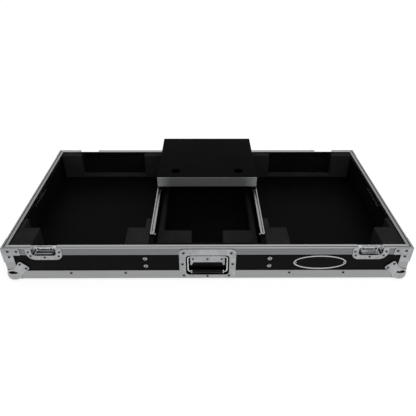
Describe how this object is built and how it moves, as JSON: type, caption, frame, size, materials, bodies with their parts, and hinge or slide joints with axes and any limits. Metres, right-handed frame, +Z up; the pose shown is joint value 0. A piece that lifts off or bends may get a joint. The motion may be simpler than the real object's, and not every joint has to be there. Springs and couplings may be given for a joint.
{
  "type": "dj coffin case",
  "caption": "Low flight case with deck bays either side of a mixer bay, and a laptop platform that glides forward over the mixer.",
  "frame": {"origin": "on the ground under the middle of the case", "axes": "+X to the right along the case's length as seen from the front, +Y to the back, +Z up"},
  "size_m": [1.156, 0.614, 0.17],
  "materials": {
    "zinc_steel": "zinc plated pressed steel, satin",
    "aluminium_extrusion": "mill finish extrusion, satin",
    "black_laminate": "black laminated plywood, fine stipple",
    "black_foam": "dense black foam, matt",
    "grip_rubber": "moulded rubber, matt",
    "plate_metal": "bright rim round a bare black field"
  },
  "bodies": {
    "case": {"ball_corner_front_left": "zinc_steel", "ball_corner_front_right": "zinc_steel", "ball_corner_back_left": "zinc_steel", "ball_corner_back_right": "zinc_steel", "rim_bracket_front_left": "zinc_steel", "rim_bracket_front_right": "zinc_steel", "rim_bracket_back_left": "zinc_steel", "rim_bracket_back_right": "zinc_steel", "latch_dish_front_left": "zinc_steel", "latch_dish_front_right": "zinc_steel", "latch_dish_back_left": "zinc_steel", "latch_dish_back_right": "zinc_steel", "handle_dish_front": "zinc_steel", "handle_dish_left": "zinc_steel", "handle_dish_right": "zinc_steel", "floor_angle_front": "aluminium_extrusion", "floor_angle_right": "aluminium_extrusion", "floor_angle_back": "aluminium_extrusion", "floor_angle_left": "aluminium_extrusion", "corner_angle_front_left": "aluminium_extrusion", "corner_angle_front_right": "aluminium_extrusion", "corner_angle_back_left": "aluminium_extrusion", "corner_angle_back_right": "aluminium_extrusion", "rim_front_left": "aluminium_extrusion", "rim_front_middle": "aluminium_extrusion", "rim_front_right": "aluminium_extrusion", "rim_back_left": "aluminium_extrusion", "rim_back_middle": "aluminium_extrusion", "rim_back_right": "aluminium_extrusion", "rim_left": "aluminium_extrusion", "rim_right": "aluminium_extrusion", "glide_rail_left": "aluminium_extrusion", "glide_rail_right": "aluminium_extrusion", "floor_board": "black_laminate", "front_board": "black_laminate", "right_board": "black_laminate", "back_board": "black_laminate", "left_board": "black_laminate", "divider_left": "black_laminate", "divider_right": "black_laminate", "front_inner_board": "black_laminate", "deck_block_inner_left": "black_foam", "deck_block_outer_left": "black_foam", "deck_block_rear_left": "black_foam", "deck_block_inner_right": "black_foam", "deck_block_outer_right": "black_foam", "deck_block_rear_right": "black_foam", "mixer_pad_left": "black_foam", "mixer_pad_right": "black_foam", "oval_plate": "plate_metal"},
    "laptop_platform": {"laptop_platform": "black_laminate", "platform_front_strip": "aluminium_extrusion", "platform_runner_left": "aluminium_extrusion", "platform_runner_right": "aluminium_extrusion"},
    "front_handle": {"handle_bail_front": "zinc_steel", "handle_grip_front": "grip_rubber"},
    "left_handle": {"handle_bail_left": "zinc_steel", "handle_grip_left": "grip_rubber"},
    "right_handle": {"handle_bail_right": "zinc_steel", "handle_grip_right": "grip_rubber"}
  },
  "joints": [
    {"name": "platform_glide", "type": "slide", "parent": "case", "child": "laptop_platform", "axis": [0, -1, 0], "range_m": [0, 0.237]},
    {"name": "front_handle_hinge", "type": "hinge", "parent": "case", "child": "front_handle", "pos_m": [0, -0.295, 0.0872], "axis": [-1, 0, 0], "range_deg": [0, 90], "stiffness_Nm_per_rad": 0.2, "springref_deg": -28.65},
    {"name": "left_handle_hinge", "type": "hinge", "parent": "case", "child": "left_handle", "pos_m": [-0.566, 0, 0.0872], "axis": [0, 1, 0], "range_deg": [0, 90], "stiffness_Nm_per_rad": 0.2, "springref_deg": -28.65},
    {"name": "right_handle_hinge", "type": "hinge", "parent": "case", "child": "right_handle", "pos_m": [0.566, 0, 0.0872], "axis": [0, -1, 0], "range_deg": [0, 90], "stiffness_Nm_per_rad": 0.2, "springref_deg": -28.65}
  ]
}
